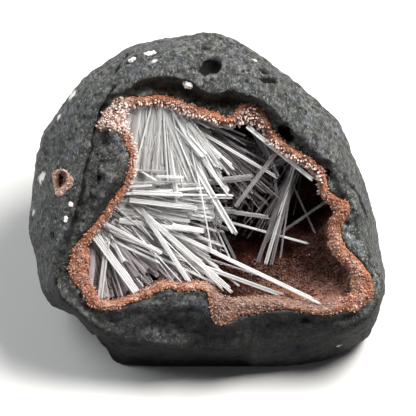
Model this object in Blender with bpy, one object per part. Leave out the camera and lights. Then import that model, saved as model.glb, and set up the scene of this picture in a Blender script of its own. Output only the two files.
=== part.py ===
"""A scolecite geode: a basalt nodule broken open, its hollow lined with a druse and full of needle sprays.

Sizes are in millimetres in the frame of the broken face: u runs across the face, v up it and w out of it.
The face looks forward and up. placed() turns its points into world metres, with the flat base at height 0.
"""

import math

import bmesh
import bpy
import numpy as np
from mathutils import Matrix, Vector, noise
from mathutils.bvhtree import BVHTree

MM = 0.001
GAP = 0.35                            # free space between two pieces that touch
FACE_TILT = math.radians(50)          # how far above level the broken face looks
FACE_HEIGHT = 40.4                    # the face frame's origin above the base
BOX_MIDDLE = (-0.43, 8.2)             # across and back, where the nodule's own box has its middle

# Outlines of the face, each a ring of (u, v) that starts at the right and runs up, left and round.
NODULE_OUTLINE = (
    (53.5, 1), (51.5, 11), (47.5, 20.5), (44, 29), (36, 36.5), (27.5, 43.5), (18, 50.5), (9.5, 56),
    (2, 58.5), (-4, 58), (-15, 56), (-25.5, 54), (-34.5, 48.5), (-41, 44), (-48.5, 35),
    (-53.5, 26.5), (-56.5, 17.5), (-59, 4.5), (-60.5, -7.5), (-57.5, -16.5), (-56, -24.5),
    (-54, -31.5), (-50.5, -33.5), (-44.5, -35.5), (-37.5, -45), (-30, -53), (-16, -53.5),
    (0.5, -53.5), (15.5, -53.5), (28, -53.5), (39, -51), (47.5, -47.5), (54.5, -42.5), (57, -35),
    (58.5, -29.5), (59.5, -22.5), (57, -14.5), (55.5, -5.5),
)
CREASE_OUTLINE = (
    (49.5, 1), (44.5, 6.5), (41, 15), (34.5, 19.5), (28.5, 24.5), (23.5, 30.5), (19, 35.5),
    (13, 37), (8, 38.5), (0.5, 37.5), (-6, 42), (-14.5, 43.5), (-22.5, 42.5), (-27.5, 38.5),
    (-32.5, 38.5), (-37, 31), (-39.5, 22.5), (-40.5, 12.5), (-42.5, 2.5), (-46, -6.5),
    (-50, -16.5), (-51, -25.5), (-48, -31), (-43.5, -35), (-34.5, -42), (-26, -44.5),
    (-16.5, -45.5), (-7.5, -46.5), (2.5, -46.5), (13, -45.5), (16.5, -40.5), (22.5, -38.5),
    (32.5, -38), (42.5, -39.5), (48, -39.5), (54.5, -36.5), (57.5, -29.5), (57, -22.5),
    (52.5, -14), (49.5, -6.5),
)
RIM_OUTLINE = (
    (48, 1.5), (44.5, 2.5), (39.5, 5.5), (39.5, 9.5), (38, 13.5), (33.5, 17), (28, 19.5),
    (24.5, 22), (21.5, 26), (19.5, 30), (18, 33.5), (14, 35), (9.5, 33.5), (8.5, 29.5), (6, 29.5),
    (0.5, 31.5), (-5.5, 33.5), (-10, 35.5), (-15, 37), (-22.5, 36.5), (-28.5, 37.5), (-33, 35),
    (-35.5, 28.5), (-31.5, 26), (-27.5, 22.5), (-26, 17.5), (-26, 13.5), (-27.5, 8.5), (-31, 4),
    (-34.5, -1.5), (-38.5, -6.5), (-43.5, -11), (-46, -16.5), (-46.5, -22.5), (-43, -26.5),
    (-40, -30.5), (-39, -33.5), (-33.5, -34), (-30, -33.5), (-25.5, -31.5), (-21, -30.5),
    (-18, -28.5), (-15, -26.5), (-9.5, -27.5), (-1.5, -27), (0.5, -29), (1, -33), (1.5, -37.5),
    (3.5, -39.5), (7, -38), (11.5, -35.5), (18, -34.5), (25.5, -33.5), (32.5, -34.5), (38, -36.5),
    (43, -34.5), (49.5, -35), (52.5, -32), (55.5, -27.5), (54.5, -21.5), (50.5, -17.5),
    (47.5, -16), (45.5, -12), (43.5, -8), (45, -4.5), (47.5, -1.5),
)
LINING_OUTLINE = (
    (42.5, -0.5), (38.5, 2), (37, 4.5), (38, 8), (36.5, 11.5), (32.5, 14.5), (27.5, 17),
    (23.5, 19.5), (20, 22.5), (18, 26.5), (14.5, 28.5), (11.5, 27.5), (9, 27.5), (4.5, 28),
    (-0.5, 29.5), (-6, 31), (-10.5, 33), (-15, 34.5), (-20, 34.5), (-24.5, 34), (-27.5, 32.5),
    (-28, 29.5), (-26.5, 25), (-24.5, 20), (-24.5, 14.5), (-25.5, 9.5), (-28.5, 3.5), (-32, -1.5),
    (-36.5, -7.5), (-39.5, -11.5), (-39, -18), (-39.5, -23.5), (-37, -27.5), (-35.5, -31.5),
    (-31, -31.5), (-26.5, -29.5), (-22, -28.5), (-18.5, -26), (-14.5, -24.5), (-8.5, -25.5),
    (-1, -25.5), (4, -27.5), (8, -29.5), (14.5, -29.5), (22.5, -30.5), (28, -31.5), (33.5, -32.5),
    (38, -32.5), (41.5, -30.5), (46, -29.5), (48, -27.5), (47, -23.5), (47.5, -20.5), (44, -18.5),
    (41, -16.5), (39.5, -13), (40, -9), (40.5, -4.5),
)
HUB = (1.5, -1.5)                     # every outline is seen whole from here
SPOKES = 96
ANGLES = np.arange(SPOKES) * 360.0 / SPOKES

# How far out of the face each outline stands, as (angle round the hub, w).
NODULE_LEVEL = (
    (0, -4), (45, -2), (90, 0), (135, -2), (180, -4), (205, -6), (225, -9.5), (300, -9.5), (330, -6),
)
CREASE_LEVEL = (
    (0, 15), (30, 17), (60, 19), (120, 20), (150, 19), (180, 18), (210, 15), (235, 11),
    (270, 8.5), (300, 9.5), (330, 12),
)
RIM_LEVEL = (
    (0, 13.5), (30, 14.5), (60, 14), (90, 14.5), (120, 15.5), (180, 15), (210, 14), (235, 13.5),
    (270, 15), (300, 14), (330, 12.5),
)
# How deep the broken ground between crease and rim is scooped, near the crease and near the rim.
CREASE_SCOOP = (
    (0, 0.5), (40, 2), (60, 2.5), (80, 5), (105, 5), (125, 2), (150, 3), (175, 3.5), (200, 2.5), (225, 0.5),
)
RIM_SCOOP = (
    (0, 0.5), (40, 2.5), (60, 2), (80, 4), (105, 4), (125, 1), (145, -1.5), (175, -1.5), (200, 0.5),
    (250, -1),
)
# Share of the way from crease to rim, the scoop there, and how many spokes the rim is averaged over.
BROKEN_STEPS = ((0.33, CREASE_SCOOP, 5), (0.72, RIM_SCOOP, 2))
# The back of the nodule: share of the outline's radius, and w.
BACK_RINGS = ((0.33, -51), (0.60, -46), (0.80, -37), (0.93, -25), (0.985, -13))
BACK_POLE = (2, 2, -53)
# The skin between outline and crease: share of the way in.
SKIN_STEPS = (0.33, 0.67)

# The hollow: share of the rim's radius and of the depth, for a steep wall and for the ledge of its floor.
HOLLOW_DEPTH = 34
STEEP_WALL = ((1.0, 0.0), (1.0, 0.15), (1.0, 0.33), (0.97, 0.52), (0.86, 0.72), (0.64, 0.88), (0.34, 0.97))
FLOOR_LEDGE = ((1.0, 0.0), (0.95, 0.17), (0.84, 0.27), (0.68, 0.34), (0.53, 0.42), (0.42, 0.66), (0.26, 0.92))
# Where round the hub the wall is a ledge, from 0 to 1, and how far it is hollowed out behind the rim.
LEDGE_SHARE = ((0, 0), (230, 0.1), (265, 0.35), (290, 0.7), (310, 1), (340, 1), (352, 0.35))
UNDERCUT = ((0, 0), (30, 2), (60, 4), (120, 4), (180, 3), (225, 1.5), (300, 0), (350, 0))
UNDERCUT_DEPTH = 0.72                 # share of the depth at which the hollowing out ends
ROCK_RINGS = (0, 1, 3, 5)             # the rows of the wall that the rock and the lining's back share

LINING_THICKNESS = 2.9
LINING_LUMP = 0.9
LUMP_SIZE = 3.5
LIP_RISE = 1.0                        # how far the lining's broken edge is domed
LIP_LUMP = 0.5
EDGE_DROP = 0.8                       # how far its inner edge lies under the rim

# Gas holes in the skin: u, v, half width, half height, turn in degrees, depth.
GAS_HOLES = (
    (1.3, 47.3, 2.5, 2.5, 35, 3.6), (19, 45.4, 1.7, 0.8, -20, 1.6), (19.8, 42.8, 2.0, 0.95, 5, 1.8),
    (-0.7, 53.3, 1.3, 0.6, -10, 1.2), (25.8, 24.6, 3.0, 1.6, -45, 3.0), (39, 11.5, 1.2, 1.0, 0, 1.6),
)
VUG = (-48.7, 9.2, 2.9, 3.9, 12, 3.4)
VUG_WALL = 1.0                        # how thick its lining is
VUG_BROW = 0.3                        # how far the lining stands out of the skin
# White fillings of gas holes: u, v, half width, half height, turn, height.
AMYGDALES = (
    (-19.3, 51.3, 2.4, 1.1, 10, 0.9), (-25.2, 49.0, 1.4, 0.9, 5, 0.8), (-6.7, 41.0, 2.1, 2.1, 20, 1.3),
    (-45.4, 1.2, 0.9, 0.9, 0, 0.7), (-47.2, -3.6, 0.7, 1.2, -15, 0.6),
)

# Needle sprays: one row a needle, as root (u, v, w), tip (u, v, w) and width.
CROWN = (-15.3, 33.2, 9)
CROWN_TIPS = (
    (23.3, 10, 9, 1.2), (8, 14.3, 11, 0.8), (17, 13.7, 6, 2.0), (12.7, 11, 4, 1.7), (9.3, 27.3, 6, 1.7),
    (16.3, 21, 4, 0.8), (-1.3, 17, 12, 2.7), (4, 16, 9.5, 2.0), (3.7, 13.3, 10.5, 1.6), (22.7, 3.7, 3.5, 1.3),
    (21.7, -0.3, 1.5, 1.0), (9.3, -9, 11, 2.0), (4.7, -6.3, 6.5, 3.6), (7.3, 4, 10.5, 1.3),
    (1, -14.3, 3, 0.9),
    (4.3, -15.7, 0.5, 2.4), (7.7, -17.7, -1.5, 0.9), (10, -19, -3, 1.0), (-19.3, -2.3, 6, 1.3),
    (-16, -9, 4, 1.3), (-12.7, -12.3, 5, 1.2), (-9.3, -14, 3, 1.3), (-6, -10.7, 7, 1.2), (-22.5, 14, 10, 1.0),
    (-24, 22, 9, 1.2), (-20, 9, 9, 1.2), (-3, -3, 9, 1.8), (-10, 2, 10.5, 1.6),
)
WALL_NEEDLES = (
    (-28, 10.3, 8, -8.3, 10.3, 9.5, 0.9), (-28, 6, 8, -9, 4.7, 9.5, 1.4), (-28, 4.7, 7, 8.3, 4.3, 7.5, 0.9),
    (-30, 3, 7, -3.3, 0, 6, 1.7), (-33.5, -5, 6, -1, -7.7, 5, 2.0), (-29, 5, 9, -11.3, -6.3, 8, 1.7),
    (-27.5, 3.5, 9, 8.3, -28, 10.5, 1.8), (-28, 3, 8, 5.5, -27.5, 8.5, 1.0),
    (-26, 3.5, 7, 10.5, -26, 8.5, 0.9),
    (-30.5, 0.8, 8, 38, -31.8, 11.5, 1.5), (-33, -8, 8, 27, -29.8, 9.5, 1.5),
    (-33, -6, 5, 21.7, -24, 4.5, 0.9),
    (-27, 7, 9, -6, -25, 10.5, 1.7), (-35, -5, 9, -15.3, -15.3, 11.5, 1.7),
    (-34.5, -8, 7, 2.7, -25.2, 9, 0.9),
    (-33, -9.5, 6, -9.7, -24.5, 7, 1.7), (-28, 6.5, 4, 15.7, 10.3, 3.5, 2.4), (-28, 5, 4, 37.5, -13, 3, 0.9),
    (-28, 3.5, 3, 20.7, -3.3, 2, 1.2),
)
CORNER_NEEDLES = (
    (-38.5, -8, 9, -23, -29, 11, 2.8), (-33.5, -11, 9, -36, -30.5, 10, 1.8),
    (-33, -8.5, 8, -28, -18, 10, 1.4),
    (-36, -9, 8, -16, -18.3, 9, 1.0), (-37, -9.5, 6, -29.3, -27.3, 6.5, 1.3),
    (-36, -8, 6, -25.5, -26, 6, 1.2),
    (-36, -7.5, 6, -20, -24.5, 6.5, 1.2), (-35, -7, 5, -14.5, -22, 5.5, 1.2),
    (-38.5, -9.5, 7, -32.5, -26, 8, 1.4),
)
RIM_NEEDLES = (
    (13.8, 28, 9, 35.6, 10.2, 9, 1.5), (13.3, 28.7, 8, 20.7, 16, 6, 1.7),
    (16, 27.5, 8.5, 23.6, 10.2, 8.8, 0.9),
    (22, 21, 5, 38, -13.2, 3, 1.1), (20.5, 22.5, 8, 23, 3.5, 5, 1.1), (25, 21.5, 8, 9, 0.3, 4, 1.9),
    (30, 18, 8, 16, 12, 6.5, 2.0), (29.5, 17.5, 8, 15.8, -20, 2, 1.5), (29.5, 17.5, 8, 18.6, -20.7, 2.5, 1.4),
    (29.5, 17.5, 8, 20.8, -20, 3, 1.3), (29, 17.5, 7, 24, -17, 4, 0.9), (40, 2.6, 5, 22.8, -9.2, 3.1, 1.1),
    (40.8, -13.4, 3, 18.8, -20.4, 2.7, 1.0), (40.2, 2.2, 5, 36.8, -13.2, 3.1, 1.0),
)
MOUTH_RISE = 8                        # how far in front of the lining the free space is carried
NEEDLE_FLATNESS = 0.7                 # a needle's thickness over its width
NEEDLE_TAPER = 0.8                    # its width at the tip over that at the root
RIDGE_SHARE = 0.3                     # half the chisel edge's length over the tip's width
# Where each spray is grown together at its root: u, v, w and radius.
ROOT_KNOBS = (
    (-15.5, 35, 7, 4), (-29.5, 6, 6, 4), (-35, -6, 6, 4), (-38.5, -9, 6, 3.5), (14, 29.5, 7, 3),
    (30, 18, 7, 2.5),
)


def by_angle(table):
    """A value on each spoke, run straight between the rows of (angle, value)."""
    angles, values = np.array(table, float).T
    return np.interp(ANGLES, angles, values, period=360)


def spoke_radii(outline):
    """The distance from the hub to the outline along each spoke."""
    starts = np.array(outline, float) - HUB
    sides = np.roll(starts, -1, axis=0) - starts
    found = np.zeros(SPOKES)
    for spoke, angle in enumerate(np.radians(ANGLES)):
        ray = np.array((math.cos(angle), math.sin(angle)))
        turn = ray[0] * sides[:, 1] - ray[1] * sides[:, 0]
        turn[np.abs(turn) < 1e-9] = 1e-9
        along = (starts[:, 0] * sides[:, 1] - starts[:, 1] * sides[:, 0]) / turn
        share = (starts[:, 0] * ray[1] - starts[:, 1] * ray[0]) / turn
        found[spoke] = along[(share >= 0) & (share <= 1)].max()
    return found


def ring(radii, level):
    """A ring of face-frame points round the hub."""
    angles = np.radians(ANGLES)
    level = np.broadcast_to(level, SPOKES)
    return np.column_stack((HUB[0] + radii * np.cos(angles), HUB[1] + radii * np.sin(angles), level))


def weathered(points, amount, size):
    """The ring's points pushed in and out of the stone by smooth noise of this size."""
    middle = np.array((0, 0, -15.0))
    moved = []
    for point in points:
        out = (point - middle) / np.linalg.norm(point - middle)
        moved.append(point + out * amount * noise.noise(Vector(point) / size))
    return np.array(moved)


def placed(point):
    """A face-frame point as a world one, in metres."""
    u, v, w = point
    back = v * math.sin(FACE_TILT) - w * math.cos(FACE_TILT)
    up = v * math.cos(FACE_TILT) + w * math.sin(FACE_TILT) + FACE_HEIGHT
    return Vector((u - BOX_MIDDLE[0], back - BOX_MIDDLE[1], up)) * MM


def lofted(rings, first_pole, last_pole):
    """A closed bmesh through rings of face-frame points, with a fan of triangles at each pole."""
    bm = bmesh.new()
    rows = [[bm.verts.new(placed(p)) for p in points] for points in rings]
    first = bm.verts.new(placed(first_pole))
    last = bm.verts.new(placed(last_pole))
    for j in range(SPOKES):
        k = (j + 1) % SPOKES
        bm.faces.new((first, rows[0][j], rows[0][k]))
        bm.faces.new((last, rows[-1][k], rows[-1][j]))
        for low, high in zip(rows, rows[1:]):
            bm.faces.new((low[j], high[j], high[k]))
            bm.faces.new((low[j], high[k], low[k]))
    bmesh.ops.recalc_face_normals(bm, faces=bm.faces)
    return bm


def finish_coat(name, colour, roughness):
    """A plain Principled material."""
    material = bpy.data.materials.new(name)
    material.use_nodes = True
    shader = material.node_tree.nodes["Principled BSDF"]
    shader.inputs["Base Color"].default_value = (*colour, 1)
    shader.inputs["Roughness"].default_value = roughness
    return material


def add_object(name, bm, material=None):
    """The bmesh as an object of this name, each face flat."""
    mesh = bpy.data.meshes.new(name)
    bm.to_mesh(mesh)
    bm.free()
    obj = bpy.data.objects.new(name, mesh)
    bpy.context.scene.collection.objects.link(obj)
    if material:
        mesh.materials.append(material)
    else:
        obj.hide_render = True
        obj.display_type = "WIRE"
    return obj


def add_boolean(obj, cutter, operation, own_overlaps=False):
    """An exact Boolean of the object with a cutter."""
    modifier = obj.modifiers.new(operation.lower(), "BOOLEAN")
    modifier.operation = operation
    modifier.solver = "EXACT"
    modifier.use_self = own_overlaps
    modifier.object = cutter


def hollow_rows():
    """The rock's hollow wall, one ring a row from the rim down, and its deepest point."""
    radii = spoke_radii(RIM_OUTLINE)
    levels = by_angle(RIM_LEVEL)
    ledge = by_angle(LEDGE_SHARE)
    undercut = by_angle(UNDERCUT)
    rows = []
    for wall, floor in zip(STEEP_WALL, FLOOR_LEDGE):
        share = wall[0] + (floor[0] - wall[0]) * ledge
        depth = wall[1] + (floor[1] - wall[1]) * ledge
        bulge = undercut * math.sin(math.pi * min(1, wall[1] / UNDERCUT_DEPTH))
        rows.append(ring(radii * share + bulge, levels - HOLLOW_DEPTH * depth))
    return rows, np.array((HUB[0], HUB[1], levels.mean() - HOLLOW_DEPTH))


def inward(rows, pole):
    """The direction into the hollow at each point of the wall's rows."""
    grid = np.array([*rows, np.broadcast_to(pole, (SPOKES, 3))])
    down = np.empty_like(grid[:-1])
    down[0] = grid[1] - grid[0]
    down[1:] = grid[2:] - grid[:-2]
    round_it = np.roll(grid, -1, axis=1)[:-1] - np.roll(grid, 1, axis=1)[:-1]
    across = np.cross(round_it, down)
    across /= np.linalg.norm(across, axis=2, keepdims=True)
    to_axis = np.array((*HUB, 0)) - grid[:-1]
    to_axis[:, :, 2] = 4
    facing = np.sign((across * to_axis).sum(axis=2, keepdims=True))
    return across * facing


def skin_rings(outer, crease):
    """The weathered skin from the outline in to the crease, a quarter of an oval in section."""
    rings = []
    for step in SKIN_STEPS:
        flat = outer[:, :2] + (crease[:, :2] - outer[:, :2]) * step
        level = outer[:, 2] + (crease[:, 2] - outer[:, 2]) * (1 - (1 - step) ** 2)
        rings.append(weathered(np.column_stack((flat, level)), 1.6, 14))
    return rings


def evened(points, spokes):
    """The ring averaged over this many spokes either side, so that a notch in it fades."""
    return sum(np.roll(points, shift, axis=0) for shift in range(-spokes, spokes + 1)) / (2 * spokes + 1)


def broken_rings(crease, rim):
    """The broken ground between crease and rim, scooped and blocky."""
    rings = []
    for step, scoop, spokes in BROKEN_STEPS:
        points = crease + (evened(rim, spokes) - crease) * step
        points[:, 2] -= by_angle(scoop)
        rings.append(weathered(points, 0.8, 6))
    return rings


def cut_base(bm):
    """The stone cut off flat at height 0 and closed there."""
    parts = [*bm.verts, *bm.edges, *bm.faces]
    bmesh.ops.bisect_plane(
        bm, geom=parts, dist=1e-6, plane_co=(0, 0, 0), plane_no=(0, 0, 1), clear_inner=True
    )
    edge = [e for e in bm.edges if e.is_boundary]
    bmesh.ops.contextual_create(bm, geom=edge)
    bmesh.ops.recalc_face_normals(bm, faces=bm.faces)


def blob(bm, middle, axes, radii, detail=2):
    """A closed rounded lump added to a bmesh. Returns its points."""
    turn = Matrix(axes).transposed().to_4x4()
    spread = Matrix.Diagonal((*radii, 1))
    where = Matrix.Translation(middle) @ turn @ spread
    return bmesh.ops.create_icosphere(bm, subdivisions=detail, radius=1, matrix=where)["verts"]


def seat_on(skin, u, v, turn):
    """The point of the skin at (u, v) of the face, with its width, height and outward directions."""
    start = Vector(placed((u, v, 60)))
    back = (placed((u, v, 0)) - start).normalized()
    point, out, _, _ = skin.ray_cast(start, back)
    across = (placed((1, 0, 0)) - placed((0, 0, 0))).normalized()
    across = Matrix.Rotation(math.radians(turn), 3, out) @ (across - out * across.dot(out)).normalized()
    return point, (across, out.cross(across), out)


def add_holes(nodule, skin):
    """The gas holes, and the sockets of the vug and the white fillings, cut from the skin."""
    bm = bmesh.new()
    for u, v, width, height, turn, depth in (*GAS_HOLES, VUG):
        point, axes = seat_on(skin, u, v, turn)
        blob(bm, point, axes, (width * MM, height * MM, depth * MM))
    for u, v, width, height, turn, rise in AMYGDALES:
        point, axes = seat_on(skin, u, v, turn)
        grown = [(side + GAP) * MM for side in (width, height, rise)]
        blob(bm, point, axes, grown)
    add_boolean(nodule, add_object("hole_cutter", bm), "DIFFERENCE")


def build_nodule():
    radii = spoke_radii(NODULE_OUTLINE)
    outer = ring(radii, by_angle(NODULE_LEVEL))
    crease = ring(spoke_radii(CREASE_OUTLINE), by_angle(CREASE_LEVEL))
    rows, pole = hollow_rows()
    wall = [rows[k] for k in ROCK_RINGS]
    back = [weathered(ring(radii * share, level), 3.5, 22) for share, level in BACK_RINGS]
    crease = weathered(crease, 1.0, 9)
    rings = [*back, outer, *skin_rings(outer, crease), crease, *broken_rings(crease, wall[0]), *wall]
    bm = lofted(rings, BACK_POLE, pole)
    cut_base(bm)
    skin = BVHTree.FromBMesh(bm)
    nodule = add_object("basalt_nodule", bm, finish_coat("basalt", (0.13, 0.135, 0.125), 0.75))
    add_holes(nodule, skin)
    return skin


def lumps(points):
    """Smooth noise at each point, from -1 to 1, of the size of the lining's lumps."""
    return np.array([noise.noise(Vector(point) / LUMP_SIZE) for point in points])


def lining_rings(rows, pole):
    """The lining's inner rings from its front edge down, and its deepest point."""
    into = inward(rows, pole)
    front = ring(spoke_radii(LINING_OUTLINE), by_angle(RIM_LEVEL) - EDGE_DROP)
    rings = [front]
    for points, direction in zip(rows[1:], into[1:]):
        thickness = GAP + LINING_THICKNESS + LINING_LUMP * lumps(points)
        rings.append(points + direction * thickness[:, None])
    return rings, pole + (0, 0, GAP + LINING_THICKNESS)


def build_lining(rows, pole):
    """The druse: its back follows the rock, its front edge is domed and its inside is lumpy."""
    into = inward(rows, pole)
    behind = [rows[k] + into[k] * GAP for k in ROCK_RINGS]
    inner, inner_pole = lining_rings(rows, pole)
    lip = (behind[0] + inner[0]) / 2
    lip[:, 2] += LIP_RISE + LIP_LUMP * lumps(lip)
    bm = lofted([*reversed(inner), lip, *behind], inner_pole, pole + (0, 0, GAP))
    add_object("druse_lining", bm, finish_coat("druse", (0.62, 0.36, 0.24), 0.5))


def needle(bm, root, tip, width):
    """A tapered four-sided prism with a blunt chisel tip."""
    root = np.array(root, float)
    tip = np.array(tip, float)
    along = (tip - root) / np.linalg.norm(tip - root)
    side = np.cross(along, (0, 0, 1.0))
    side /= np.linalg.norm(side)
    up = np.cross(side, along)
    corners = ((1, 1), (-1, 1), (-1, -1), (1, -1))
    rows = []
    for where, size in ((root, 1), (tip - along * width, NEEDLE_TAPER)):
        half = width * size / 2
        points = [where + side * a * half + up * b * half * NEEDLE_FLATNESS for a, b in corners]
        rows.append([bm.verts.new(placed(point)) for point in points])
    ridge = width * NEEDLE_TAPER * RIDGE_SHARE
    ends = [bm.verts.new(placed(tip + side * a * ridge)) for a in (1, -1)]
    base, shoulder = rows
    faces = [base[::-1]]
    for k in range(4):
        n = (k + 1) % 4
        faces.append((base[k], base[n], shoulder[n], shoulder[k]))
    faces.append((shoulder[0], shoulder[1], ends[1], ends[0]))
    faces.append((shoulder[2], shoulder[3], ends[0], ends[1]))
    faces.append((shoulder[1], shoulder[2], ends[1]))
    faces.append((shoulder[3], shoulder[0], ends[0]))
    for face in faces:
        bm.faces.new(face)


def add_needles():
    """Every needle of the sprays, each still a closed body of its own."""
    bm = bmesh.new()
    for k, (u, v, w, width) in enumerate(CROWN_TIPS):
        fan = (k % 5 - 2) * 0.7
        needle(bm, (CROWN[0] + fan, CROWN[1], CROWN[2] - (k % 3)), (u, v, w), width)
    for row in (*WALL_NEEDLES, *CORNER_NEEDLES, *RIM_NEEDLES):
        needle(bm, row[0:3], row[3:6], row[6])
    bmesh.ops.recalc_face_normals(bm, faces=bm.faces)
    return add_object("loose_needles", bm)


def add_free_space(rows, pole):
    """The space inside the lining, less a gap, carried straight out through the opening."""
    inner, inner_pole = lining_rings(rows, pole)
    into = inward(inner, inner_pole)
    kept = [points + direction * GAP for points, direction in zip(inner, into)]
    mouth = kept[0] + (0, 0, MOUTH_RISE)
    bm = lofted([*reversed(kept), mouth], inner_pole + (0, 0, GAP), (*HUB, 30))
    return add_object("free_space", bm)


def keep_largest(bm):
    """Drops every loose island of the mesh but the largest."""
    left = set(bm.verts)
    islands = []
    while left:
        reached = [left.pop()]
        for vert in reached:
            for edge in vert.link_edges:
                other = edge.other_vert(vert)
                if other in left:
                    left.remove(other)
                    reached.append(other)
        islands.append(reached)
    islands.sort(key=len)
    for island in islands[:-1]:
        bmesh.ops.delete(bm, geom=island, context="VERTS")


def build_needles(rows, pole):
    """The needle sprays joined in one solid and trimmed where they meet the lining."""
    needles = add_needles()
    bm = bmesh.new()
    for u, v, w, size in ROOT_KNOBS:
        blob(bm, placed((u, v, w)), ((1, 0, 0), (0, 1, 0), (0, 0, 1)), [size * MM] * 3, 1)
    add_boolean(needles, add_object("root_knobs", bm), "UNION", own_overlaps=True)
    add_boolean(needles, add_free_space(rows, pole), "INTERSECT")
    graph = bpy.context.evaluated_depsgraph_get()
    bm = bmesh.new()
    bm.from_object(needles, graph)
    keep_largest(bm)
    add_object("scolecite_needles", bm, finish_coat("scolecite", (0.9, 0.88, 0.86), 0.25))


def build_fillings(skin):
    """The white amygdales, each a low lump in its socket."""
    white = finish_coat("amygdale", (0.8, 0.76, 0.7), 0.4)
    for number, (u, v, width, height, turn, rise) in enumerate(AMYGDALES, 1):
        point, axes = seat_on(skin, u, v, turn)
        bm = bmesh.new()
        blob(bm, point, axes, (width * MM, height * MM, rise * MM))
        add_object(f"amygdale_{number}", bm, white)


def build_vug_lining(skin):
    """The pink druse in the vug: a bowl that follows the socket and ends level with the skin."""
    u, v, width, height, turn, depth = VUG
    point, axes = seat_on(skin, u, v, turn)
    out = axes[2]
    bm = bmesh.new()
    for vert in blob(bm, point, axes, [(side - GAP) * MM for side in (width, height, depth)]):
        over = (vert.co - point).dot(out) - VUG_BROW * MM
        if over > 0:
            vert.co -= out * over
    bowl = add_object("vug_lining", bm, finish_coat("pink druse", (0.7, 0.42, 0.33), 0.5))
    bm = bmesh.new()
    sides = [(side - GAP - VUG_WALL) * MM for side in (width, height, depth)]
    blob(bm, point + out * VUG_BROW * MM, axes, sides)
    add_boolean(bowl, add_object("vug_cutter", bm), "DIFFERENCE")


def main():
    for obj in list(bpy.data.objects):
        bpy.data.objects.remove(obj)
    skin = build_nodule()
    rows, pole = hollow_rows()
    build_lining(rows, pole)
    build_needles(rows, pole)
    build_fillings(skin)
    build_vug_lining(skin)


main()
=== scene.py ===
"""The looks of a scolecite geode: weathered basalt, a peach druse, and sprays of milky and clear needles.

The geode's own shapes are measured in millimetres in the frame of its broken face: u across the face, v up it
and w out of it. The camera looks straight at that face.
"""

import math

import bmesh
import bpy
import numpy as np
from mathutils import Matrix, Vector, noise
from mathutils.bvhtree import BVHTree


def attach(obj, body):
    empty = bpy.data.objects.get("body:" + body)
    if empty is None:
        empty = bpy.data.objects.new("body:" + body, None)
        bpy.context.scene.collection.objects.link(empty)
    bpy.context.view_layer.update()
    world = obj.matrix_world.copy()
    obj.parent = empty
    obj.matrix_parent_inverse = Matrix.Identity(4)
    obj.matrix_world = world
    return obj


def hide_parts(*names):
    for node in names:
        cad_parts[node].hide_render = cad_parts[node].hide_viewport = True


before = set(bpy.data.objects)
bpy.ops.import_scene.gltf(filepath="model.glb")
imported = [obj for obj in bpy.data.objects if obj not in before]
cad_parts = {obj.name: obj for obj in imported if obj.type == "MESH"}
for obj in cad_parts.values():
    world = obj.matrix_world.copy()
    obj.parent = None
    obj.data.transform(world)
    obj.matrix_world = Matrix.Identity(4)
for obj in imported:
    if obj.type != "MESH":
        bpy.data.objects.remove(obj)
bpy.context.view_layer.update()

MM = 0.001
FACE_TILT = math.radians(50)
FACE_ORIGIN = np.array((0.43, -8.2, 40.4))   # the face frame's origin in the part's frame, in mm
FACE_AXES = np.array((
    (1, 0, 0),
    (0, math.sin(FACE_TILT), math.cos(FACE_TILT)),
    (0, -math.cos(FACE_TILT), math.sin(FACE_TILT)),
))
PICTURE_WIDTH = 0.1387                       # what the camera's frame spans at the face, in metres
CAMERA_DISTANCE = 3.0
SENSOR = 36.0

# The squares of each piece's even skin, in mm.
SKIN_VOXEL = 0.79
LINING_VOXEL = 0.62
FILLING_VOXEL = 0.2
VUG_VOXEL = 0.25

CREASE_OUTLINE = (
    (49.5, 1), (44.5, 6.5), (41, 15), (34.5, 19.5), (28.5, 24.5), (23.5, 30.5), (19, 35.5),
    (13, 37), (8, 38.5), (0.5, 37.5), (-6, 42), (-14.5, 43.5), (-22.5, 42.5), (-27.5, 38.5),
    (-32.5, 38.5), (-37, 31), (-39.5, 22.5), (-40.5, 12.5), (-42.5, 2.5), (-46, -6.5),
    (-50, -16.5), (-51, -25.5), (-48, -31), (-43.5, -35), (-34.5, -42), (-26, -44.5),
    (-16.5, -45.5), (-7.5, -46.5), (2.5, -46.5), (13, -45.5), (16.5, -40.5), (22.5, -38.5),
    (32.5, -38), (42.5, -39.5), (48, -39.5), (54.5, -36.5), (57.5, -29.5), (57, -22.5),
    (52.5, -14), (49.5, -6.5),
)

# The long needles that show one by one: root (u, v, w), tip (u, v, w), width, and 1 if clear or 0 if milky.
CROWN = (-15.3, 33.6, 12.2)
CROWN_TIPS = (
    (23.3, 10, 9, 1.1, 0), (8, 14.3, 11, 0.7, 0), (17, 13.7, 6, 2.0, 1), (12.7, 11, 4, 1.7, 1),
    (9.3, 27.3, 6, 1.7, 1), (16.3, 21, 4, 0.7, 0), (-1.3, 17, 12, 2.7, 0), (4, 16, 9.5, 2.0, 0),
    (3.7, 13.3, 10.5, 1.6, 0), (22.7, 3.7, 3.5, 1.3, 1), (21.7, -0.3, 1.5, 0.9, 1), (9.3, -9, 11, 2.0, 0),
    (4.7, -6.3, 6.5, 3.6, 1), (7.3, 4, 10.5, 1.3, 0), (1, -14.3, 3, 0.8, 0), (4.3, -15.7, 0.5, 2.4, 1),
    (7.7, -17.7, -1.5, 0.7, 0), (10, -19, -3, 1.0, 1), (-19.3, -2.3, 6, 1.1, 1), (-16, -9, 4, 1.1, 1),
    (-12.7, -12.3, 5, 1.0, 0), (-9.3, -14, 3, 1.1, 1), (-6, -10.7, 7, 1.0, 0), (-22.5, 14, 10, 0.9, 0),
    (-24, 22, 9, 1.0, 0), (-20, 9, 9, 1.0, 1), (-3, -3, 9, 1.6, 0), (-10, 2, 10.5, 1.4, 0),
)
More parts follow.
